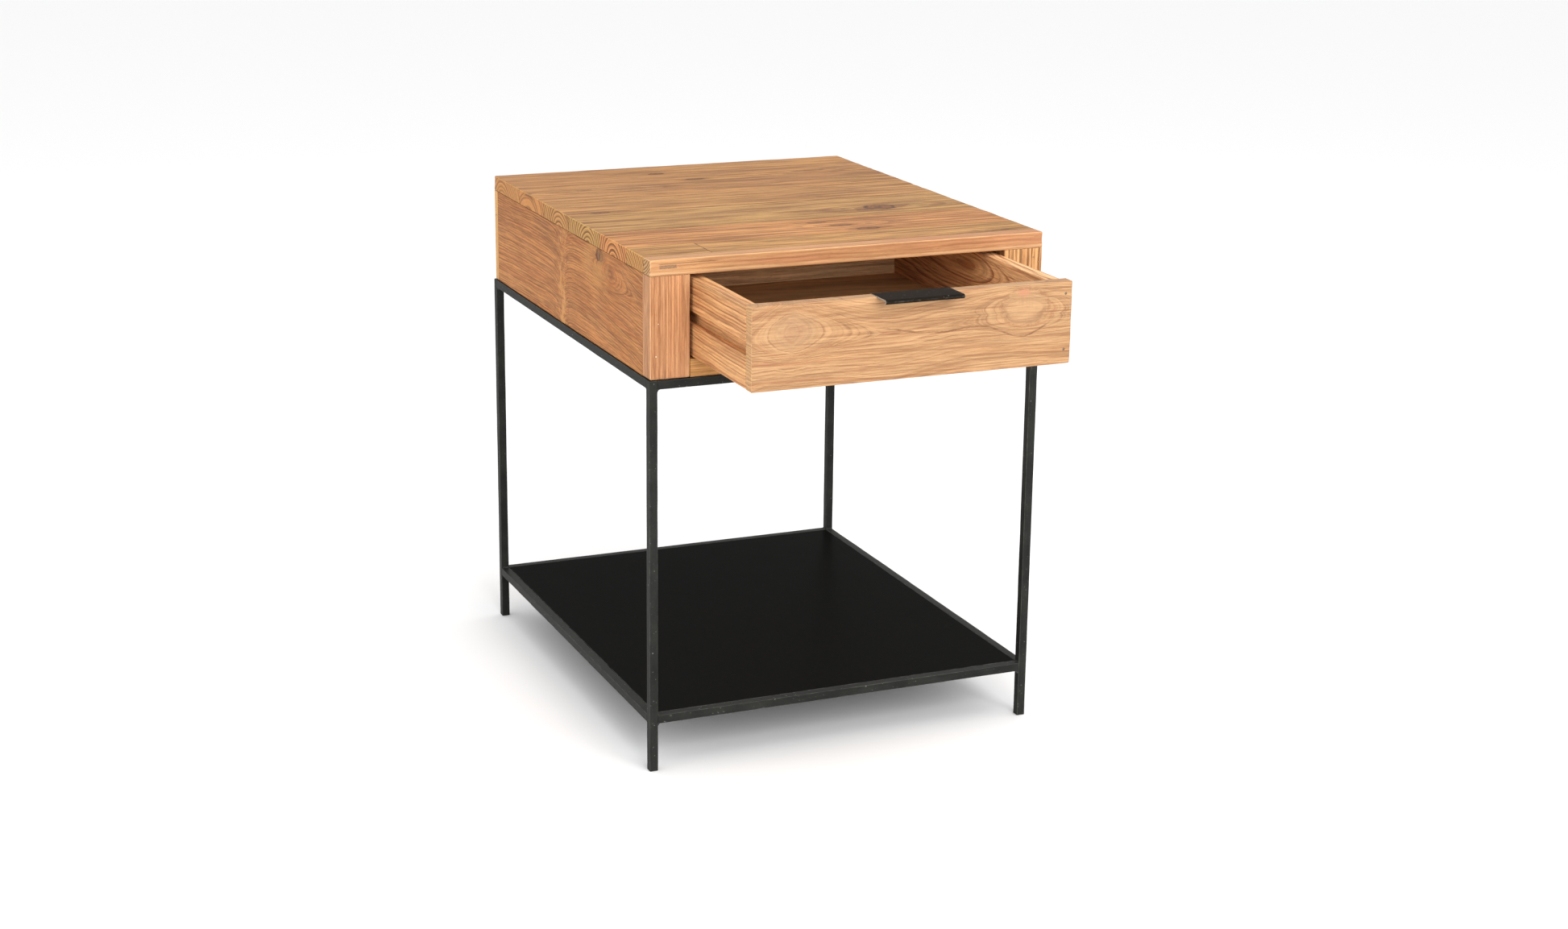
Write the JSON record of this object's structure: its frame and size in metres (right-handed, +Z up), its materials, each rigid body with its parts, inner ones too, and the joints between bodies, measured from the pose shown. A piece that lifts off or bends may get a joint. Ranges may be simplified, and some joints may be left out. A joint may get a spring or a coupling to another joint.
{
  "type": "side table",
  "caption": "Side table: planked wooden case with a sliding drawer and bent-iron pull, on a slim square-bar iron frame with a sheet-iron shelf.",
  "frame": {"origin": "on the floor plane, at the middle of the footprint of the whole table with its drawer as drawn (173 mm open)", "axes": "+Z up, +X to the right as seen from the front, +Y to the back; the drawer opens towards -Y"},
  "size_m": [0.5016, 0.7944, 0.615],
  "materials": {
    "teak_top": "sanded and lightly oiled reclaimed hardwood, matte to satin",
    "teak_side": "sanded and lightly oiled hardwood with swirling grain, matte",
    "teak_front": "sanded light hardwood with knots, matte",
    "teak_drawer": "sanded hardwood, unpolished",
    "drawer_board": "thin brown board",
    "teak_rough": "planed, unfinished",
    "black_iron": "blackened and lacquered iron bar, satin with worn corners",
    "black_sheet": "blackened and lacquered iron sheet, semi-gloss",
    "pull_iron": "black lacquered bent iron, bare metal at the cut ends",
    "screw_steel": "zinc-plated steel"
  },
  "bodies": {
    "table": {"top_front_strip": "teak_top", "top_plank_1_left": "teak_top", "top_plank_1_right": "teak_top", "top_plank_2": "teak_top", "top_plank_3": "teak_top", "top_plank_4": "teak_top", "top_plank_5": "teak_top", "top_plank_6": "teak_top", "side_panel_left": "teak_side", "side_panel_right": "teak_side", "back_board_upper": "teak_side", "back_board_lower": "teak_side", "front_stile_left_outer": "teak_front", "front_stile_left_inner": "teak_front", "front_stile_right": "teak_front", "bottom_rail": "teak_front", "guide_rail_left": "teak_rough", "guide_rail_right": "teak_rough", "runner_left": "teak_rough", "runner_right": "teak_rough", "drawer_stop_left": "teak_rough", "drawer_stop_right": "teak_rough", "leg_front_left": "black_iron", "leg_front_right": "black_iron", "leg_back_left": "black_iron", "leg_back_right": "black_iron", "top_bar_front": "black_iron", "top_bar_back": "black_iron", "top_bar_left": "black_iron", "top_bar_right": "black_iron", "shelf_bar_front": "black_iron", "shelf_bar_back": "black_iron", "shelf_bar_left": "black_iron", "shelf_bar_right": "black_iron", "shelf_sheet": "black_sheet", "fixing_tab_front_left": "black_iron", "fixing_tab_front_right": "black_iron", "fixing_tab_back_left": "black_iron", "fixing_tab_back_right": "black_iron", "fixing_screw_front_left": "screw_steel", "fixing_screw_front_right": "screw_steel", "fixing_screw_back_left": "screw_steel", "fixing_screw_back_right": "screw_steel", "runner_screw_front_left": "screw_steel", "runner_screw_front_right": "screw_steel", "runner_screw_back_left": "screw_steel", "runner_screw_back_right": "screw_steel"},
    "drawer": {"drawer_front": "teak_front", "drawer_side_left": "teak_drawer", "drawer_side_right": "teak_drawer", "drawer_back": "teak_drawer", "drawer_bottom": "drawer_board", "drawer_pull": "pull_iron", "pull_screw_left": "screw_steel", "pull_screw_right": "screw_steel", "drawer_pin_lower_left": "screw_steel", "drawer_pin_lower_right": "screw_steel", "drawer_pin_upper_left": "screw_steel", "drawer_pin_upper_right": "screw_steel"}
  },
  "joints": [
    {"name": "drawer_slide", "type": "slide", "parent": "table", "child": "drawer", "axis": [0, -1, 0], "range_m": [-0.173, 0.15]}
  ]
}
